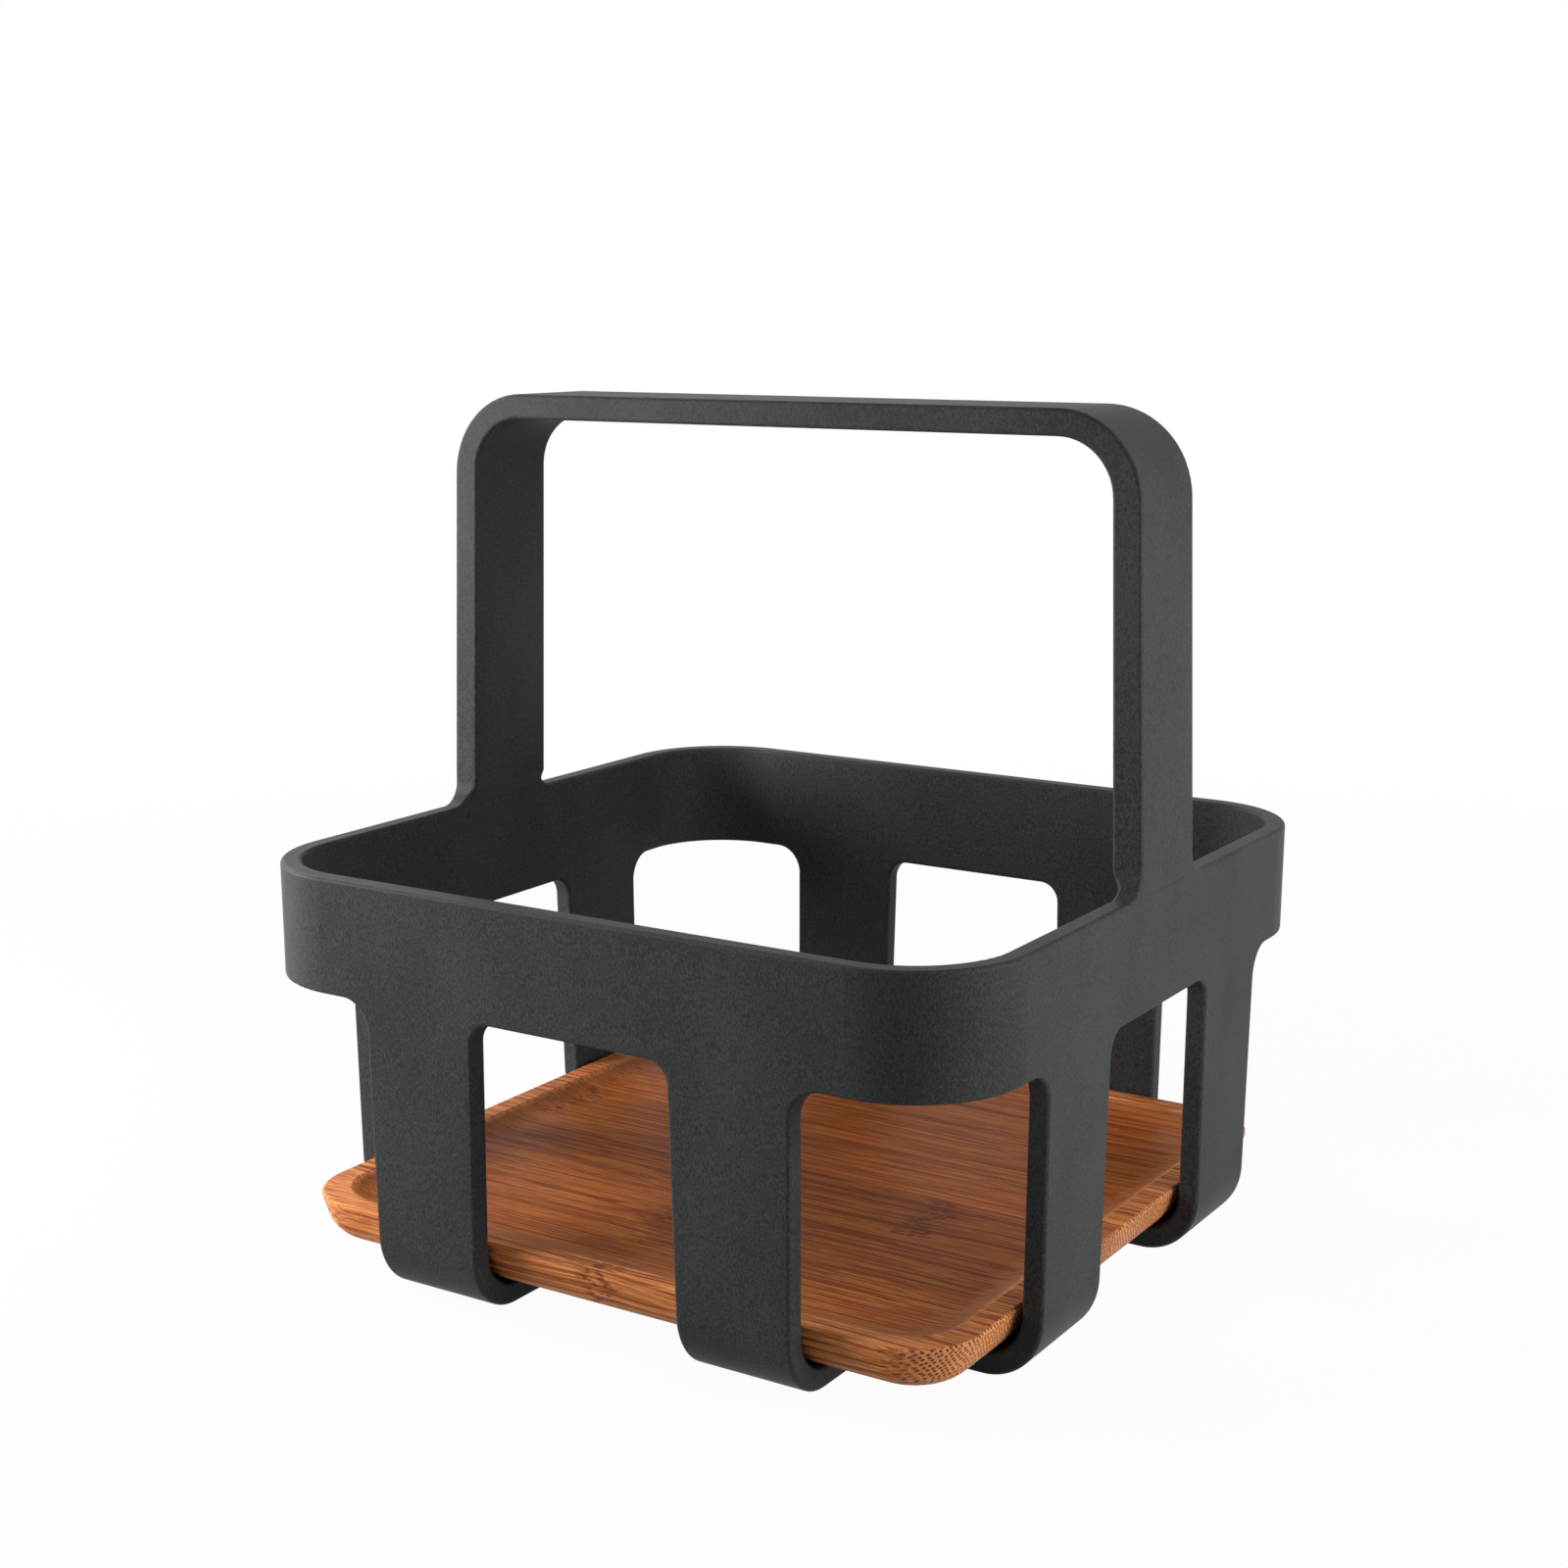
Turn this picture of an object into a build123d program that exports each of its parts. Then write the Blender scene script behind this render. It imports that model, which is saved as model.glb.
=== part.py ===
from build123d import *
from math import radians, tan
import os

# Open caddy with a carrying handle and a lift-out bamboo tray, in millimetres.
# +Z is up and the origin is on the table, under the middle of the caddy. The handle spans
# from -X to +X over the middle, so -Y is a side without a handle leg: the front.

# ---- frame ----
rim_x = 172.0               # outside to outside at the rim
rim_y = 170.0
rim_z = 83.0                # height of the rim
corner_r = 24.5             # outside radius of the corners at the rim
wall = 4.4
draft = 2.8                 # degrees that the walls lean inwards on the way down
band_height = 23.8
band_z = rim_z - band_height
edge_r = 0.8                # rounding of every edge of the moulding
beyond = 10.0               # how far a cutting shape runs past the surface that it cuts

# ---- legs, two to a side, each turned in under the tray as a foot ----
leg_inner_top = 23.0        # from the middle of a side to the leg's edges, at the band
leg_outer_top = 50.0
leg_inner_foot = 23.7       # and at the table
leg_outer_foot = 48.3
window_r = 4.5              # fillet between leg and band, in the window of a side
shoulder_r = 6.5            # fillet between leg and band, at a corner of the caddy
bend_r = 13.0               # outside radius of the bend from leg to foot
foot_tip = 53.0             # from the middle of the caddy to the end of a foot

# ---- carrying handle, a flat strap bent into an arch ----
handle_z = 178.0            # top of the handle
handle_width = 25.6
handle_thick = 6.4          # of its two uprights
bar_thick = 5.7             # of the bar over the top
handle_corner_r = 18.4      # outside radius of its two upper corners
handle_inner_r = 12.0       # and inside
flare_r = 5.0               # fillet where the strap runs into the rim
root_bend = 5.0             # height over the rim where the strap's outer face turns upright
root_bend_r = 160.0
swell_low = 1.2             # between these heights over the rim the inner face comes in,
swell_high = 4.0            # because the strap is thicker than the wall
swell_r = 2.5

# ---- the moulding is one piece, cut here into band, legs and handle ----
leg_root = 9.0              # length of leg, under the band, that stays with the band
handle_root = 11.0          # and of strap, over the rim
leg_cut_z = band_z - leg_root
handle_cut_z = rim_z + handle_root

# ---- bamboo tray: strips glued side by side, with the grain along X ----
tray_gap = 0.6              # play between the tray and the legs, on each side
tray_thick = 9.4
tray_corner_r = 14.5
tray_undercut = 20.0        # degrees that the tray's edge leans in on the way down
tray_lip = 5.0              # border round the dish
dish_depth = 1.6
dish_corner_r = 12.5
dish_cove = 7.3             # width of the hollow slope from the lip down to the dish's floor
dish_edge_r = 0.6           # rounding of the lip towards the dish
tray_top_r = 0.6            # rounding of the tray's upper edge
tray_under_r = 8.0          # rounding under the tray's edge
strip_width = 20.5
first_joint_y = 57.0        # the glue line nearest the back

lean = tan(radians(draft))
tray_z = wall                                   # the tray lies on the feet
inner_at_tray = wall + lean * (rim_z - tray_z)  # rim's outside to a leg's inside there
tray_x = rim_x - 2 * (inner_at_tray + tray_gap)
tray_y = rim_y - 2 * (inner_at_tray + tray_gap)
dish_cove_r = (dish_cove**2 + dish_depth**2) / (2 * dish_depth)


def points_at(sketch, x, y):
    """The corners of a sketch at (x, y) and (-x, y)."""
    near = 0.001
    return [v for v in sketch.vertices() if abs(abs(v.X) - x) < near and abs(v.Y - y) < near]


def layer(low, high):
    """Everything between two heights."""
    size = 2 * rim_x
    return Pos(0, 0, (low + high) / 2) * Box(size, size, high - low)


def tapered_block(inset, low, floor_r):
    """The caddy's outline, inset from its outside, leaning in towards a rounded floor."""
    outline = RectangleRounded(rim_x - 2 * inset, rim_y - 2 * inset, corner_r - inset)
    block = extrude(Plane.XY.offset(rim_z) * outline, amount=low - rim_z, taper=draft)
    floor = block.faces().sort_by(Axis.Z)[0]
    return fillet(floor.edges(), floor_r)


def wall_x(inset, z):
    """Where the leaning wall at +X is, at a height, inset from its outside."""
    return rim_x / 2 - inset + lean * (z - rim_z)


def arch(side, radii):
    """A face under an arch: up through these points of its +X side, then over, rounded."""
    outline = make_face(Polyline(*side, *[(-x, z) for x, z in reversed(side)], close=True))
    for (x, z), radius in zip(side[1:], radii):
        outline = fillet(points_at(outline, x, z), radius)
    return outline


def strap_slab():
    """The bent strap before its width is cut: wide enough for the flares at the rim."""
    low = rim_z - beyond
    bend_z = rim_z + root_bend
    outer_x = wall_x(0, bend_z)
    outside = arch(
        [(wall_x(0, low), low), (outer_x, bend_z), (outer_x, handle_z)],
        [root_bend_r, handle_corner_r],
    )
    swell_z = rim_z + swell_low
    inner_x = outer_x - handle_thick
    inside = arch(
        [
            (wall_x(wall, low), low),
            (wall_x(wall, swell_z), swell_z),
            (inner_x, rim_z + swell_high),
            (inner_x, handle_z - bar_thick),
        ],
        [swell_r, swell_r, handle_inner_r],
    )
    half_width = handle_width / 2 + flare_r + beyond
    return extrude(Plane.XZ * (outside - inside), amount=half_width, both=True)


def leg_outline(side):
    corners = [
        (side * leg_outer_top, band_z),
        (side * leg_outer_foot, 0),
        (side * leg_inner_foot, 0),
        (side * leg_inner_top, band_z),
    ]
    return make_face(Polyline(*corners, close=True))


def leg_pair_mask(turn):
    """What stays of one wall: the band with its two legs, seen square to that wall."""
    width = 2 * (leg_outer_top + shoulder_r + beyond)
    band = Pos(0, (band_z + rim_z) / 2) * Rectangle(width, band_height)
    outline = band + leg_outline(1) + leg_outline(-1)
    outline = fillet(points_at(outline, leg_inner_top, band_z), window_r)
    outline = fillet(points_at(outline, leg_outer_top, band_z), shoulder_r)
    depth = rim_x / 2 + beyond - foot_tip
    return extrude(Plane.XZ.offset(foot_tip) * outline, amount=depth).rotate(Axis.Z, turn)


def strap_mask():
    """What stays of the strap, seen along X: its width, and its flares on the rim."""
    half_width = handle_width / 2 + flare_r + beyond
    strap = Pos(0, (band_z + handle_z + beyond) / 2) * Rectangle(
        handle_width, handle_z + beyond - band_z
    )
    band = Pos(0, (band_z + rim_z) / 2) * Rectangle(2 * half_width, band_height)
    outline = fillet(points_at(band + strap, handle_width / 2, rim_z), flare_r)
    return extrude(Plane.YZ * outline, amount=rim_x / 2 + beyond, both=True)


def sharp_edges(solid, least=20):
    """The edges where two faces meet at more than this many degrees."""
    beside = {}
    for face in solid.faces():
        for edge in face.edges():
            beside.setdefault(edge, []).append(face)
    sharp = []
    for edge, faces in beside.items():
        if len(faces) != 2:
            continue
        middle = edge.position_at(0.5)
        if faces[0].normal_at(middle).get_angle(faces[1].normal_at(middle)) > least:
            sharp.append(edge)
    return sharp


def moulding():
    """The whole frame in one piece, as it comes out of the mould."""
    shell = tapered_block(0, 0, bend_r) - tapered_block(wall, wall, bend_r - wall)
    mask = layer(band_z, rim_z) + strap_mask()
    for turn in (0, 90, 180, 270):
        mask += leg_pair_mask(turn)
    frame = (shell + strap_slab()) & mask
    return fillet(sharp_edges(frame), edge_r)


def side_name(solid):
    """Name a leg after the side it stands on and the end of that side it is nearer."""
    place = solid.center()
    along_x = "right" if place.X > 0 else "left"
    along_y = "back" if place.Y > 0 else "front"
    if abs(place.Y) > abs(place.X):
        return f"{along_y}_leg_{along_x}"
    return f"{along_x}_leg_{along_y}"


def frame_nodes():
    frame = moulding()
    nodes = {"rim_band": frame & layer(leg_cut_z, handle_cut_z)}
    nodes["carry_handle"] = frame & layer(handle_cut_z, handle_z + beyond)
    legs = frame & layer(-beyond, leg_cut_z)
    for leg in legs.solids():
        nodes[side_name(leg)] = leg
    return nodes


def dish_cutter():
    """The hollow of the dish, standing on its floor; it meets the lip at the dish's depth."""
    spread = dish_cove_r - dish_cove - tray_lip
    outline = RectangleRounded(
        tray_x + 2 * spread, tray_y + 2 * spread, dish_corner_r + dish_cove_r - dish_cove
    )
    dish = extrude(outline, amount=dish_cove_r + beyond)
    floor = dish.faces().sort_by(Axis.Z)[0]
    return fillet(floor.edges(), dish_cove_r)


def tray_board():
    """The tray before it is seen as strips: a rounded board with a shallow dish."""
    outline = RectangleRounded(tray_x, tray_y, tray_corner_r)
    top_plane = Plane.XY.offset(tray_thick)
    board = extrude(top_plane * outline, amount=-tray_thick, taper=tray_undercut)
    underside = board.faces().sort_by(Axis.Z)[0]
    board = fillet(underside.edges(), tray_under_r)
    top = board.faces().sort_by(Axis.Z)[-1]
    board = fillet(top.edges(), tray_top_r)
    board -= Pos(0, 0, tray_thick - dish_depth) * dish_cutter()
    lip = board.faces().sort_by(Axis.Z)[-1]
    board = fillet(lip.inner_wires()[0].edges(), dish_edge_r)
    return Pos(0, 0, tray_z) * board


def tray_nodes():
    """The board cut along its glue lines into strips, numbered from the back."""
    board = tray_board()
    nodes = {}
    back = tray_y / 2
    front = first_joint_y
    while back > -tray_y / 2:
        front = max(front, -tray_y / 2)
        between_joints = Pos(0, (back + front) / 2, tray_z) * Box(rim_x, back - front, rim_z)
        nodes[f"bamboo_strip_{len(nodes) + 1}"] = board & between_joints
        back = front
        front -= strip_width
    return nodes


os.makedirs("parts", exist_ok=True)
for name, shape in {**frame_nodes(), **tray_nodes()}.items():
    export_step(shape, f"parts/{name}.step")
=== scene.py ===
from math import cos, radians, sin

import bpy
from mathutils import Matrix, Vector


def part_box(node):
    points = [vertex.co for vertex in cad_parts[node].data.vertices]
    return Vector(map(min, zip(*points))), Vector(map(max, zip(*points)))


# Open caddy with a carrying handle and a lift-out bamboo tray. All lengths are in metres.
# The shapes are those of the frame; this script adds the finish, the light and the camera.

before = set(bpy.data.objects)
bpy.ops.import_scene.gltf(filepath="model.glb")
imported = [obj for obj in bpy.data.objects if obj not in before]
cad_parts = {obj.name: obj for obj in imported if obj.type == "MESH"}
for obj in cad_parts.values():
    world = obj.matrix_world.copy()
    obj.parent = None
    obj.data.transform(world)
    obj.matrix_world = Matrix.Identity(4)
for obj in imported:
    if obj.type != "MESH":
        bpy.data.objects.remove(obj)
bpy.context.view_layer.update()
MM = 0.001

# ---- the photograph's camera: level, with the horizon high in the frame ----
IMAGE_PX = 1600
FOCAL_PX = 2493.4
HORIZON_PX = 309.8
CAMERA_AZIMUTH = 32.303
CAMERA_PLACE = (281.1 * MM, -451.1 * MM, 198.65 * MM)
SENSOR_MM = 36.0

# ---- light ----
WORLD_GREY = 0.03
FLOOR_SIZE = 40.0
FLOOR_ALBEDO = 0.50
FLOOR_WHITE_SHARE = 0.96    # share of plain white in what is seen of the floor beside the object
FLOOR_FADE = (0.15, 0.60)   # between these distances from the object the share goes to 1
LAMP_AIM = Vector((0, 0, 70 * MM))
# name: azimuth, elevation, distance, width, height, power
LAMPS = {
    "left_softbox": (-58, 14, 0.45, 0.30, 0.25, 4.0),
    "right_softbox": (92, 8, 0.45, 0.30, 0.25, 1.8),
    "rear_left_softbox": (-110, 32, 0.90, 0.30, 0.25, 3.0),
    "top_softbox": (110, 70, 0.90, 0.45, 0.45, 1.7),
}

# ---- both materials ----
BUMP_STRENGTH = 0.5
NOISE_MIDDLE = 0.5

# ---- nylon ----
NYLON_DARK = (0.0230, 0.0233, 0.0238)
NYLON_PALE = (0.0455, 0.0460, 0.0467)
NYLON_ROUGHNESS = 0.50
NYLON_UNEVEN = 0.25         # how far the roughness follows the grain
NYLON_SPECULAR = 0.07
NYLON_BUMP = 0.06 * MM
GRAIN_SIZES = (0.36 * MM, 0.36 * MM, 0.576 * MM)    # longer along Z
GRAIN_SHARE = 0.75          # of the tone; faint clouds make up the rest
CLOUD_SIZES = (22 * MM, 22 * MM, 40 * MM)
TONE_RANGE = (0.38, 0.62)   # of the noise, from the dark colour to the pale
LEG_TOP_TO_RIM = 32.8 * MM  # a leg's own solid ends this far under the rim
# a painted shade and a bump groove along the crease across the handle's roots fade out between
# these, from the crease's own middle
CREASE_EDGE = (0.30 * MM, 0.09 * MM)
CREASE_REACH = (10 * MM, 7 * MM)       # and between these, from the middle of the strap
CREASE_SHADE_SHARE = 0.45        # how far the crease's painted shade takes the colour to the dark one

# ---- bamboo, with its grain along X ----
BAMBOO_DARK = (0.19, 0.036, 0.007)
BAMBOO_MID = (0.42, 0.125, 0.030)
BAMBOO_PALE = (0.68, 0.275, 0.098)
BAMBOO_SPECULAR = 0.06
BAMBOO_ROUGHNESS = 0.40
BAMBOO_UNEVEN = 0.2         # how far the roughness follows the fibres
BAMBOO_BUMP = 0.08 * MM
FIBRE_SIZES = (24 * MM, 0.32 * MM, 0.32 * MM)
FIBRE_RANGE = (0.40, 0.62)  # of the noise, from the middle colour to the pale
FLECK_SIZES = (9 * MM, 0.30 * MM, 0.30 * MM)        # short fine dark lines
FLECK_RANGE = (0.56, 0.66)
FLECK_SHARE = 0.70
STREAK_SIZES = (110 * MM, 1.1 * MM, 1.1 * MM)       # long dark lines
STREAK_RANGE = (0.52, 0.38)
STREAK_SHARE = 0.60
SOAK_SHARE = 0.30           # added to the streaks at the tray's ends
SOAK_FROM = 66 * MM         # from here out to the ends, where oil goes deeper
BROAD_SIZES = (150 * MM, 14 * MM, 14 * MM)          # slow change of tone within a strip
BROAD_RANGE = (0.75, 1.25)

END_COLOR = (0.62, 0.265, 0.110)        # end grain between its dots
END_SHARE = 0.75
END_FACING = (0.15, 0.6)    # how far a surface faces X before its end grain shows
BUNDLE_COLOR = (0.12, 0.025, 0.006)     # the dark fibre bundles: dots on the end grain
BUNDLE_SPACING = 0.80 * MM
BUNDLE_TURN = radians(45)   # of the rows of bundles, seen from the end
BUNDLE_LOOSE = 0.4          # how far the bundles stray from their rows
BUNDLE_EDGE = (0.42, 0.22)  # from outside to inside a bundle, in spacings
BUNDLE_SINK = 0.6           # of the bundles, next to the height of the fibres
DOT_SHARE = 0.95            # how dark a bundle is on the end grain
THREAD_SHARE = 0.6          # and along the top, where it is a fine thread
THREAD_RANGE = (0.62, 0.42) # of the streaks' noise, from no thread to a full one

KNUCKLE_COLOR = (0.12, 0.024, 0.005)
KNUCKLE_SHARE = 0.9
KNUCKLE_EDGE = (7.0 * MM, 1.4 * MM)      # from outside to full, off its middle
KNUCKLE_RAGGED = 14 * MM    # how far the dashes of a knuckle are spread along the cane
RAGGED_SIZES = (9 * MM, 2.2 * MM, 4 * MM)
DASH_SIZES = (2.6 * MM, 0.7 * MM, 0.9 * MM)
DASH_RANGE = (0.42, 0.62)

DISH_DEPTH = 1.6 * MM
DISH_EDGE = (0.05 * DISH_DEPTH, 0.5 * DISH_DEPTH)   # depths between which the dish's painted shade comes in
DISH_PAINTED_SHADE = (0.60, 0.490, 0.36)         # painted shade, with a painted redder reflected colour: the dish is darker and redder than the lip round it
COVE_SHEEN_COLOR = (0.40, 0.170, 0.080)       # painted sheen: a paler, greyer colour on the slope round the dish's floor
COVE_SHEEN_SHARE = 0.5
COVE_FACING = (0.9995, 0.98)            # how far up the floor and the slope face
TOP_FACING = (0.80, 0.88)               # steeper surfaces aren't in the dish

STRIP_PHASE = (0.31, 0.047, 0.023)      # from one strip's figure to the next
SWAY_Y = 2.2 * MM           # how far the fibres wander on their way along X
SWAY_Y_SIZES = (45 * MM, 30 * MM, 30 * MM)
SWAY_Z = 3.0 * MM
SWAY_Z_SIZES = (38 * MM, 14 * MM, 30 * MM)
SWAY_Z_PHASE = (0.5, 0.5, 0.5)

# tone of each strip from the back to the front, and where its knuckles cross it
STRIP_TONES = {
    "bamboo_strip_1": (1.20, ()),
    "bamboo_strip_2": (1.10, (-31 * MM,)),
    "bamboo_strip_3": (1.04, ()),
    "bamboo_strip_4": (0.92, (-66 * MM,)),
    "bamboo_strip_5": (0.84, (40 * MM,)),
    "bamboo_strip_6": (1.02, (-5 * MM,)),
    "bamboo_strip_7": (1.06, ()),
    "bamboo_strip_8": (1.12, (0.5 * MM,)),
}


def direction(azimuth, elevation):
    """The way to a lamp: azimuth 0 is the front, and it turns towards +X."""
    az = radians(azimuth)
    el = radians(elevation)
    return Vector((sin(az) * cos(el), -cos(az) * cos(el), sin(el)))


def add_camera():
    data = bpy.data.cameras.new("camera")
    data.sensor_width = SENSOR_MM
    data.lens = SENSOR_MM * FOCAL_PX / IMAGE_PX
    data.shift_y = (HORIZON_PX - IMAGE_PX / 2) / IMAGE_PX
    camera = bpy.data.objects.new("camera", data)
    camera.location = CAMERA_PLACE
    camera.rotation_euler = (radians(90), 0, radians(CAMERA_AZIMUTH))
    bpy.context.scene.collection.objects.link(camera)
    bpy.context.scene.camera = camera


def add_lamp(name, azimuth, elevation, distance, width, height, power):
    data = bpy.data.lights.new(name, "AREA")
    data.shape = "RECTANGLE"
    data.size = width
    data.size_y = height
    data.energy = power
    lamp = bpy.data.objects.new(name, data)
    way = direction(azimuth, elevation)
    lamp.location = LAMP_AIM + way * distance
    lamp.rotation_euler = way.to_track_quat("Z", "Y").to_euler()
    lamp.visible_camera = False
    bpy.context.scene.collection.objects.link(lamp)


def add(tree, kind, inputs=None, **settings):
    """A new node; each of its inputs gets a value, or a link from another node's output."""
    node = tree.nodes.new(kind)
    for name, value in settings.items():
        setattr(node, name, value)
    for key, value in (inputs or {}).items():
        if isinstance(value, bpy.types.NodeSocket):
            tree.links.new(value, node.inputs[key])
        else:
            node.inputs[key].default_value = value
    return node


def calc(tree, operation, a, b=0.0):
    return add(tree, "ShaderNodeMath", {0: a, 1: b}, operation=operation).outputs[0]


def times(tree, a, b):
    return calc(tree, "MULTIPLY", a, b)


def ramp(tree, value, low, high, least=0.0, most=1.0):
    """From least at low to most at high, smooth between; low may be the larger."""
    inputs = {"Value": value, "From Min": low, "From Max": high, "To Min": least, "To Max": most}
    return add(tree, "ShaderNodeMapRange", inputs, interpolation_type="SMOOTHSTEP").outputs[0]


def blend(tree, share, a, b, how="MIX"):
    """Colour a, going to colour b as share goes from 0 to 1."""
    node = add(tree, "ShaderNodeMix", data_type="RGBA", blend_type=how)
    for key, value in ((0, share), (6, a), (7, b)):
        if isinstance(value, bpy.types.NodeSocket):
            tree.links.new(value, node.inputs[key])
        elif key == 0:
            node.inputs[key].default_value = value
        else:
            node.inputs[key].default_value = (*value, 1)
    return node.outputs[2]


def object_place(tree):
    return add(tree, "ShaderNodeTexCoord").outputs["Object"]


def split(tree, vector):
    """The X, Y and Z of a vector."""
    return add(tree, "ShaderNodeSeparateXYZ", {0: vector}).outputs


def noise(tree, place, sizes, detail=2.0, roughness=0.5):
    """Soft noise whose features have these sizes along X, Y and Z."""
    scale = tuple(1 / size for size in sizes)
    spot = add(tree, "ShaderNodeMapping", {"Vector": place, "Scale": scale}).outputs[0]
    inputs = {"Vector": spot, "Scale": 1.0, "Detail": detail, "Roughness": roughness}
    return add(tree, "ShaderNodeTexNoise", inputs).outputs[0]


def new_material(name):
    material = bpy.data.materials.new(name)
    material.use_nodes = True
    tree = material.node_tree
    tree.nodes.clear()
    return material, tree


def finish_surface(tree, color, roughness, specular, height, depth):
    """A principled surface with this colour, gloss and bump."""
    inputs = {"Height": height, "Distance": depth, "Strength": BUMP_STRENGTH}
    bump = add(tree, "ShaderNodeBump", inputs)
    inputs = {
        "Base Color": color,
        "Roughness": roughness,
        "Specular IOR Level": specular,
        "Normal": bump.outputs[0],
    }
    shader = add(tree, "ShaderNodeBsdfPrincipled", inputs)
    add(tree, "ShaderNodeOutputMaterial", {"Surface": shader.outputs[0]})


def seen_ray(tree):
    """1 for what the camera sees, also in gloss or through glass; 0 for light on surfaces."""
    path = add(tree, "ShaderNodeLightPath").outputs
    seen = calc(tree, "MAXIMUM", path["Is Camera Ray"], path["Is Glossy Ray"])
    return calc(tree, "MAXIMUM", seen, path["Is Transmission Ray"])


def light_world():
    world = bpy.data.worlds.new("studio")
    world.use_nodes = True
    bpy.context.scene.world = world
    tree = world.node_tree
    tree.nodes.clear()
    dim = add(tree, "ShaderNodeBackground", {"Strength": WORLD_GREY, "Color": (1, 1, 1, 1)})
    white = add(tree, "ShaderNodeBackground", {"Strength": 1.0, "Color": (1, 1, 1, 1)})
    inputs = {0: seen_ray(tree), 1: dim.outputs[0], 2: white.outputs[0]}
    mix = add(tree, "ShaderNodeMixShader", inputs)
    add(tree, "ShaderNodeOutputWorld", {"Surface": mix.outputs[0]})


def add_floor():
    bpy.ops.mesh.primitive_plane_add(size=FLOOR_SIZE)
    floor = bpy.context.object
    floor.name = "floor"
    material, tree = new_material("floor")
    pale = add(tree, "ShaderNodeBsdfDiffuse", {"Color": (FLOOR_ALBEDO,) * 3 + (1,)})
    white = add(tree, "ShaderNodeEmission", {"Color": (1, 1, 1, 1), "Strength": 1.0})
    place = object_place(tree)
    away = add(tree, "ShaderNodeVectorMath", {0: place}, operation="LENGTH").outputs["Value"]
    share = times(tree, seen_ray(tree), ramp(tree, away, *FLOOR_FADE, least=FLOOR_WHITE_SHARE))
    mix = add(tree, "ShaderNodeMixShader", {0: share, 1: pale.outputs[0], 2: white.outputs[0]})
    add(tree, "ShaderNodeOutputMaterial", {"Surface": mix.outputs[0]})
    floor.data.materials.append(material)


def crease_shade_and_groove(tree, place):
    """1 on the crease that crosses the handle's roots at the rim's height: it carries a painted
    shade in the colour and a groove in the bump.
    """
    rim_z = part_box("front_leg_left")[1][2] + LEG_TOP_TO_RIM
    axes = split(tree, place)
    off = calc(tree, "ABSOLUTE", calc(tree, "SUBTRACT", axes[2], rim_z))
    side = calc(tree, "ABSOLUTE", axes[1])
    return times(tree, ramp(tree, off, *CREASE_EDGE), ramp(tree, side, *CREASE_REACH))


def nylon_material():
    """Matte charcoal moulding with a very fine grain and faint clouds in its tone."""
    material, tree = new_material("charcoal_nylon")
    place = object_place(tree)
    grain = noise(tree, place, GRAIN_SIZES, detail=3.0, roughness=0.6)
    cloud = noise(tree, place, CLOUD_SIZES)
    tone = calc(
        tree, "ADD", times(tree, grain, GRAIN_SHARE), times(tree, cloud, 1 - GRAIN_SHARE)
    )
    color = blend(tree, ramp(tree, tone, *TONE_RANGE), NYLON_DARK, NYLON_PALE)
    line = crease_shade_and_groove(tree, place)
    # painted shade along the crease at the handle's roots
    color = blend(tree, times(tree, line, CREASE_SHADE_SHARE), color, NYLON_DARK)
    height = calc(tree, "SUBTRACT", grain, line)
    uneven = times(tree, calc(tree, "SUBTRACT", grain, NOISE_MIDDLE), NYLON_UNEVEN)
    roughness = calc(tree, "ADD", uneven, NYLON_ROUGHNESS)
    finish_surface(tree, color, roughness, NYLON_SPECULAR, height, NYLON_BUMP)
    return material


def bamboo_place(tree, index):
    """Where a point is in its strip's own piece of bamboo: every strip has another phase,
    and the fibres wander a little on their way along X."""
    phase = tuple(index * step for step in STRIP_PHASE)
    place = object_place(tree)
    place = add(tree, "ShaderNodeMapping", {"Vector": place, "Location": phase}).outputs[0]
    shifted = add(tree, "ShaderNodeMapping", {"Vector": place, "Location": SWAY_Z_PHASE}).outputs[0]
    sway_y = noise(tree, place, SWAY_Y_SIZES, detail=1.0)
    sway_z = noise(tree, shifted, SWAY_Z_SIZES, detail=1.0)
    axes = split(tree, place)
    y = calc(tree, "ADD", axes[1], times(tree, sway_y, SWAY_Y))
    z = calc(tree, "ADD", axes[2], times(tree, sway_z, SWAY_Z))
    return add(tree, "ShaderNodeCombineXYZ", {0: axes[0], 1: y, 2: z}).outputs[0]


def bundle_dots(tree, place):
    """1 inside a fibre bundle: bundles run along X, in diagonal rows across the grain."""
    axes = split(tree, place)
    section = add(tree, "ShaderNodeCombineXYZ", {0: axes[1], 1: axes[2], 2: 0.0}).outputs[0]
    inputs = {
        "Vector": section,
        "Scale": (1 / BUNDLE_SPACING,) * 3,
        "Rotation": (0, 0, BUNDLE_TURN),
    }
    rows = add(tree, "ShaderNodeMapping", inputs).outputs[0]
    inputs = {"Vector": rows, "Scale": 1.0, "Randomness": BUNDLE_LOOSE}
    cells = add(tree, "ShaderNodeTexVoronoi", inputs, voronoi_dimensions="2D")
    return ramp(tree, cells.outputs["Distance"], *BUNDLE_EDGE)


def knuckle_mask(tree, place, x):
    """1 in the dashes of the ragged band where a knuckle of the cane crosses the strip."""
    here = split(tree, object_place(tree))[0]
    ragged = noise(tree, place, RAGGED_SIZES, detail=3.0, roughness=0.7)
    sway = times(tree, calc(tree, "SUBTRACT", ragged, NOISE_MIDDLE), KNUCKLE_RAGGED)
    off = calc(tree, "ABSOLUTE", calc(tree, "ADD", calc(tree, "SUBTRACT", here, x), sway))
    band = ramp(tree, off, *KNUCKLE_EDGE)
    dashes = noise(tree, place, DASH_SIZES, detail=3.0, roughness=0.6)
    return times(tree, band, ramp(tree, dashes, *DASH_RANGE))


def facing(tree, axis):
    """How much the surface faces along an axis, from 0 to 1."""
    normal = add(tree, "ShaderNodeNewGeometry").outputs["Normal"]
    return calc(tree, "ABSOLUTE", split(tree, normal)[axis])


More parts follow.
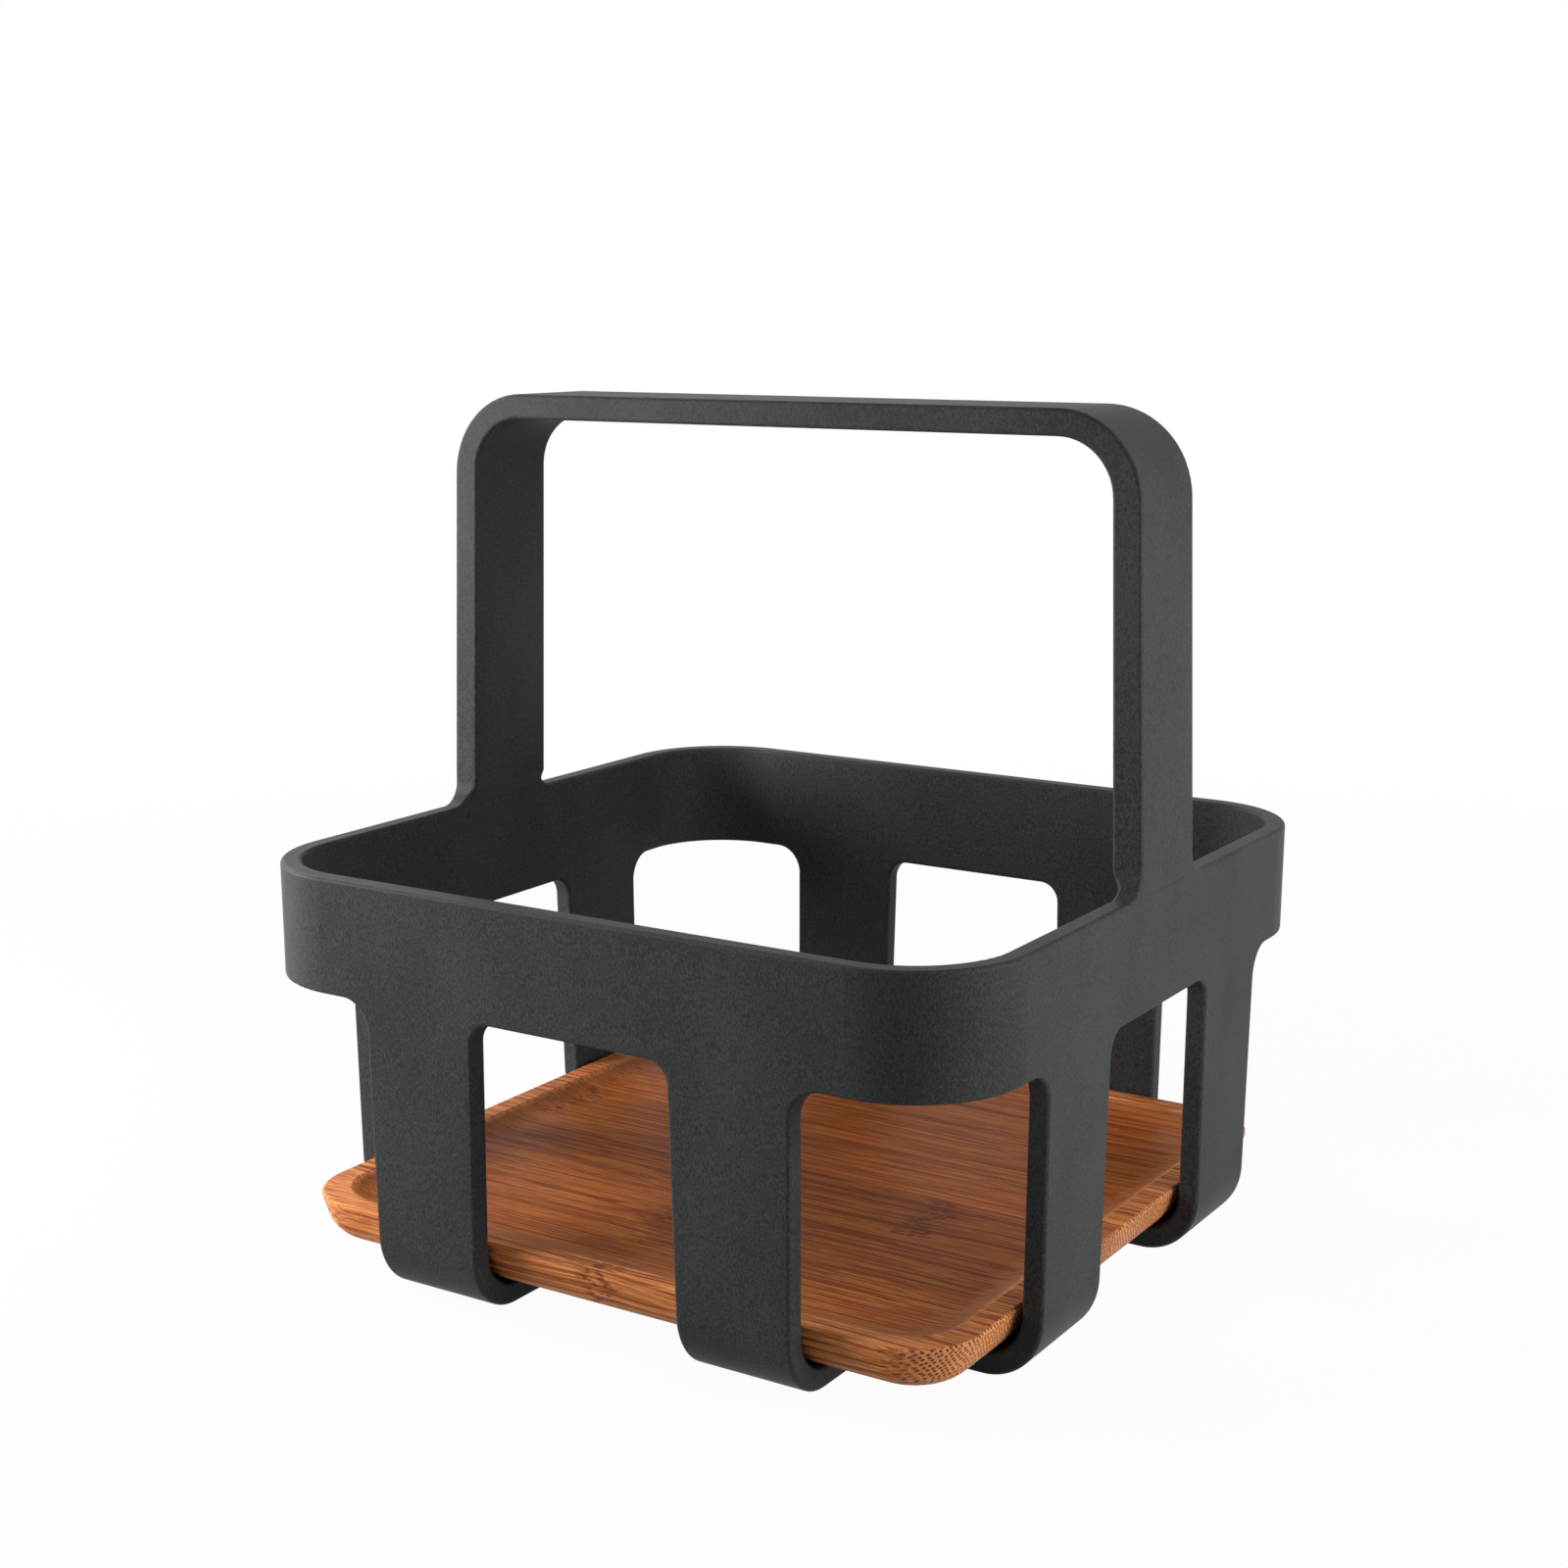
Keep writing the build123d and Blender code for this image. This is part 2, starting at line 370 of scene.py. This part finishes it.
def dish_masks(tree):
    """Two masks: 1 in the dish, where its painted shade goes, and 1 on the hollow slope that goes
    down to its floor, where a painted sheen goes.
    """
    lip_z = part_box("bamboo_strip_4")[1][2]
    depth = calc(tree, "SUBTRACT", lip_z, split(tree, object_place(tree))[2])
    top = ramp(tree, facing(tree, 2), *TOP_FACING)
    dish = times(tree, ramp(tree, depth, *DISH_EDGE), top)
    return dish, times(tree, dish, ramp(tree, facing(tree, 2), *COVE_FACING))


def soak_mask(tree):
    """Goes to 1 at the tray's two ends, where the oil goes deeper into the end grain."""
    x = calc(tree, "ABSOLUTE", split(tree, object_place(tree))[0])
    return ramp(tree, x, SOAK_FROM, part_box("bamboo_strip_4")[1][0])


def fibre_color(tree, fine, fleck, streak):
    """The colour along the grain: pale and darker fibres, short flecks and long streaks."""
    color = blend(tree, ramp(tree, fine, *FIBRE_RANGE), BAMBOO_MID, BAMBOO_PALE)
    depth = calc(tree, "ADD", STREAK_SHARE, times(tree, soak_mask(tree), SOAK_SHARE))
    dark = times(tree, ramp(tree, streak, *STREAK_RANGE), depth)
    color = blend(tree, dark, color, BAMBOO_DARK)
    dark = times(tree, ramp(tree, fleck, *FLECK_RANGE), FLECK_SHARE)
    return blend(tree, dark, color, BAMBOO_DARK)


def bamboo_color(tree, place, fine, dots, tone, knuckles):
    """The colour of one strip: fibres along it, and dots where the surface cuts across them."""
    streak = noise(tree, place, STREAK_SIZES, detail=3.0, roughness=0.6)
    fleck = noise(tree, place, FLECK_SIZES, detail=2.0, roughness=0.6)
    broad = noise(tree, place, BROAD_SIZES, detail=1.0)
    ends = ramp(tree, facing(tree, 0), *END_FACING)
    dish, cove = dish_masks(tree)
    color = fibre_color(tree, fine, fleck, streak)
    color = blend(tree, times(tree, ends, END_SHARE), color, END_COLOR)
    thread = times(tree, dots, times(tree, ramp(tree, streak, *THREAD_RANGE), THREAD_SHARE))
    spots = times(tree, dots, DOT_SHARE)
    marks = add(tree, "ShaderNodeMix", {0: ends, 2: thread, 3: spots}).outputs[0]
    color = blend(tree, marks, color, BUNDLE_COLOR)
    for knuckle in knuckles:
        color = blend(tree, times(tree, knuckle, KNUCKLE_SHARE), color, KNUCKLE_COLOR)
    # painted sheen on the slope round the dish's floor
    color = blend(tree, times(tree, cove, COVE_SHEEN_SHARE), color, COVE_SHEEN_COLOR)
    least, most = BROAD_RANGE
    shade = calc(tree, "ADD", times(tree, broad, most - least), least)
    shade = times(tree, shade, tone)
    grey = add(tree, "ShaderNodeCombineXYZ", {0: shade, 1: shade, 2: shade}).outputs[0]
    color = blend(tree, 1.0, color, grey, "MULTIPLY")
    # painted shade, with a painted redder reflected colour, over the dish
    return blend(tree, 1.0, color, blend(tree, dish, (1, 1, 1), DISH_PAINTED_SHADE), "MULTIPLY")


def bamboo_material(name, index, tone, knuckle_places):
    """One strip of oiled bamboo: long fine fibres on top, rows of dark dots on its ends."""
    material, tree = new_material(name)
    place = bamboo_place(tree, index)
    fine = noise(tree, place, FIBRE_SIZES, detail=3.0, roughness=0.65)
    dots = bundle_dots(tree, place)
    knuckles = [knuckle_mask(tree, place, x) for x in knuckle_places]
    color = bamboo_color(tree, place, fine, dots, tone, knuckles)
    height = calc(tree, "SUBTRACT", fine, times(tree, dots, BUNDLE_SINK))
    for knuckle in knuckles:
        height = calc(tree, "SUBTRACT", height, knuckle)
    roughness = calc(tree, "ADD", times(tree, fine, BAMBOO_UNEVEN), BAMBOO_ROUGHNESS)
    finish_surface(tree, color, roughness, BAMBOO_SPECULAR, height, BAMBOO_BUMP)
    return material


def dress(node, material):
    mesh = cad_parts[node].data
    mesh.materials.clear()
    mesh.materials.append(material)


def dress_caddy():
    nylon = nylon_material()
    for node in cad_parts:
        if node not in STRIP_TONES:
            dress(node, nylon)
    for index, (node, (tone, knuckles)) in enumerate(STRIP_TONES.items()):
        dress(node, bamboo_material(node, index, tone, knuckles))


dress_caddy()
add_camera()
add_floor()
light_world()
for lamp_name, lamp_values in LAMPS.items():
    add_lamp(lamp_name, *lamp_values)
bpy.context.scene.view_settings.view_transform = "Standard"
